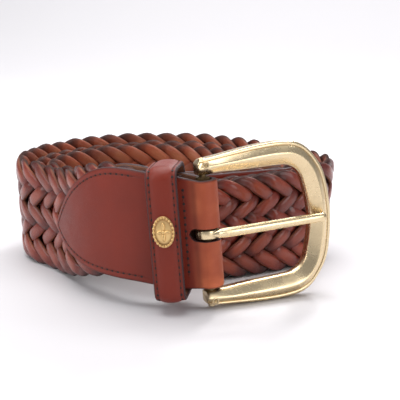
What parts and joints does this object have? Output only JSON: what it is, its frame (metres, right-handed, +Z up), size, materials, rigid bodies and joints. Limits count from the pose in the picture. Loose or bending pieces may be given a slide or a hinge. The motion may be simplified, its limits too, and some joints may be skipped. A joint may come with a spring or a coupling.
{
  "type": "plaited leather belt",
  "caption": "Rolled plaited leather belt standing on its edge, with a folded leather tab, a keeper loop and a brass horseshoe buckle whose prong and frame swing on one bar.",
  "frame": {"origin": "below the middle of the roll, on the surface that the belt stands on", "axes": "+Z up across the strap's width, +X to the right and +Y to the back, seen from the buckle's side"},
  "size_m": [0.1162, 0.1274, 0.0503],
  "materials": {
    "plait": "waxed plaited cowhide",
    "tab_leather": "smooth waxed cowhide",
    "buckle_brass": "polished with light wear",
    "ornament_brass": "cast and gilt"
  },
  "bodies": {
    "strap": {"braided_strap": "plait", "buckle_tab": "tab_leather", "tip_tab": "tab_leather", "keeper": "tab_leather", "keeper_ornament": "ornament_brass"},
    "buckle": {"buckle_frame": "buckle_brass", "buckle_bar": "buckle_brass"},
    "tongue": {"prong": "buckle_brass"}
  },
  "joints": [
    {"name": "buckle_swing", "type": "hinge", "parent": "strap", "child": "buckle", "pos_m": [0.02182, -0.04987, 0.02371], "axis": [0.0732, 0, -0.9973], "range_deg": [-15, 25]},
    {"name": "prong_swing", "type": "hinge", "parent": "buckle", "child": "tongue", "pos_m": [0.02182, -0.04987, 0.02371], "axis": [0.0732, 0, -0.9973], "range_deg": [0, 80]}
  ]
}
